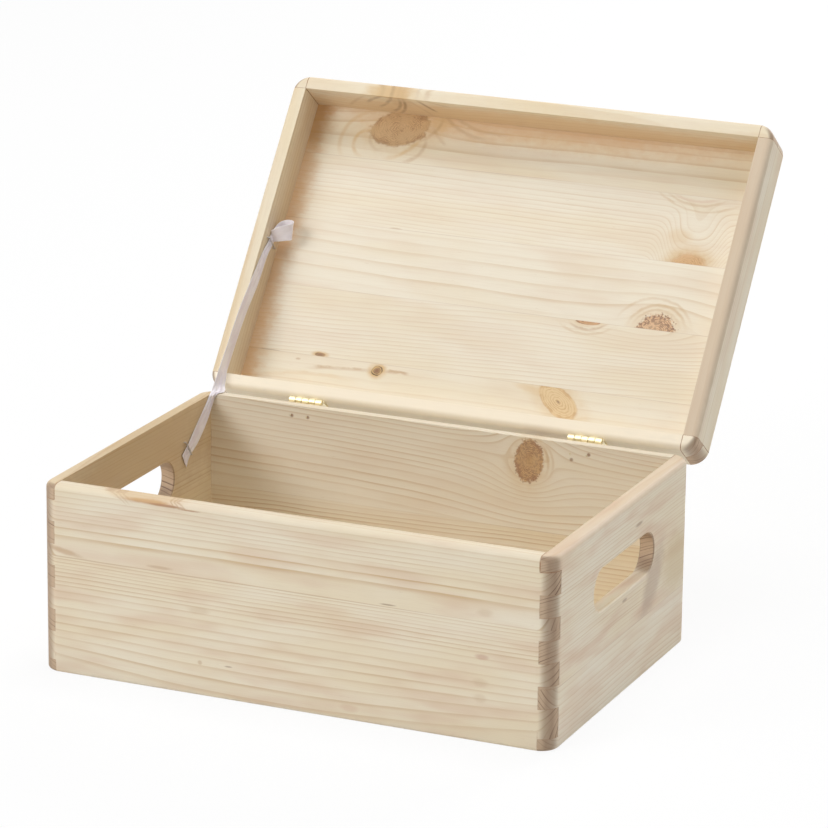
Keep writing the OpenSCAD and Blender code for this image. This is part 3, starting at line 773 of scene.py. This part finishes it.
def satin():
    """White satin: fine threads along it, a woven edge and a faint lilac cast."""
    s = Shader("ribbon_satin")
    along, over, _ = (part * 1000 for part in s.parts(s.add("ShaderNodeUVMap", {"uv_map": "weave"})))
    thread = s.noise(s.vector(along / 3, over / 0.12, 0.0), 2.0) - 0.5
    weft = s.noise(s.vector(along / 0.25, over / 2, 3.0), 1.0) - 0.5
    cloud = s.noise(s.vector(along / 14, over / 5, 7.0), 2.0)
    edge = abs(over - RIBBON_W / 2).ramp(RIBBON_W / 2 - 0.7, RIBBON_W / 2 - 0.3)
    colour = s.blend(cloud.ramp(0.35, 0.65), linear(250, 246, 250), linear(240, 232, 240))
    colour = s.blend(thread * 0.3 + 0.08, colour, linear(214, 202, 214))
    colour = s.blend(edge * 0.5, colour, linear(254, 252, 254))
    height = thread + weft * 0.6 + edge * 0.5
    bump = s.add("ShaderNodeBump", inputs={"Strength": 0.35, "Distance": 0.0001, "Height": height})
    return s.surface(Base_Color=colour, Roughness=0.42 + thread * 0.2, Normal=bump,
                     Sheen_Weight=0.25, Sheen_Roughness=0.4)


ribbon = make_ribbon()
ribbon.data.materials.append(satin())
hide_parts("ribbon_stay")
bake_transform(ribbon)


# ---------------------------------------------------------------- studio


def place_camera():
    """The photograph's viewpoint."""
    eye = Vector((958.697, -2138.391, 842.296)) * MM
    yaw, pitch, roll = (math.radians(a) for a in (23.5662, 16.7173, 0.6639))
    ahead = Vector((-math.sin(yaw) * math.cos(pitch), math.cos(yaw) * math.cos(pitch), -math.sin(pitch)))
    right = Vector((math.cos(yaw), math.sin(yaw), 0))
    up = right.cross(ahead)
    right, up = (
        right * math.cos(roll) + up * math.sin(roll),
        up * math.cos(roll) - right * math.sin(roll),
    )
    camera = bpy.data.cameras.new("camera")
    camera.sensor_width, camera.lens = 36, 195.739
    camera.clip_start, camera.clip_end = 0.1, 50
    viewer = bpy.data.objects.new("camera", camera)
    turn = Matrix((right, up, -ahead)).transposed().to_4x4()
    viewer.matrix_world = Matrix.Translation(eye) @ turn
    bpy.context.scene.collection.objects.link(viewer)
    bpy.context.scene.camera = viewer


def seen_straight(s):
    """1 where the camera sees the place itself, in a reflection or through glass, and else 0."""
    rays = ("Is Camera Ray", "Is Glossy Ray", "Is Transmission Ray")
    camera, glossy, through = (s.add("ShaderNodeLightPath", output=ray) for ray in rays)
    return camera.most(glossy).most(through)


def place_floor():
    """A pale floor that shows as white and keeps some of the box's shadow."""
    side = 6.0
    mesh = bpy.data.meshes.new("floor")
    mesh.from_pydata([(-side, -side, 0), (side, -side, 0), (side, side, 0), (-side, side, 0)], [],
                     [(0, 1, 2, 3)])
    floor = bpy.data.objects.new("floor", mesh)
    bpy.context.scene.collection.objects.link(floor)
    s = Shader("studio_floor")
    paper = s.add("ShaderNodeBsdfDiffuse", inputs={"Color": (0.94, 0.94, 0.94, 1)})
    glow = s.add("ShaderNodeEmission", inputs={"Color": (1, 1, 1, 1), "Strength": 1.0})
    mixed = s.add("ShaderNodeMixShader", inputs={0: seen_straight(s) * 0.9, 1: paper, 2: glow})
    s.add("ShaderNodeOutputMaterial", inputs={"Surface": mixed})
    mesh.materials.append(s.owner)


def soft_lamp(name, place, size, power, target=(0, 0.05, 0.1)):
    light = bpy.data.lights.new(name, "AREA")
    light.shape, light.size, light.energy = "SQUARE", size, power
    lamp = bpy.data.objects.new(name, light)
    lamp.location = place
    lamp.rotation_mode = "QUATERNION"
    lamp.rotation_quaternion = (Vector(target) - Vector(place)).to_track_quat("-Z", "Y")
    bpy.context.scene.collection.objects.link(lamp)


def light_the_world(strength):
    """White where it is seen, and gentler as light."""
    s = Shader("studio", "worlds")
    level = seen_straight(s) * (1 - strength) + strength
    sky = s.add("ShaderNodeBackground", inputs={"Color": (1, 1, 1, 1), "Strength": level})
    s.add("ShaderNodeOutputWorld", inputs={"Surface": sky})
    bpy.context.scene.world = s.owner


place_camera()
place_floor()
light_the_world(0.22)
soft_lamp("overhead", (0, 0.3, 2.8), 1.2, 35)
soft_lamp("front_left", (-1.5, -2.2, 1.7), 1.2, 33)
soft_lamp("far_left", (-2.2, -1.2, 1.9), 1.2, 11)
soft_lamp("right", (2.4, -1.0, 1.2), 1.2, 6)
soft_lamp("behind", (0.5, 2.6, 1.2), 1.2, 33)
bpy.context.scene.view_settings.view_transform = "Standard"
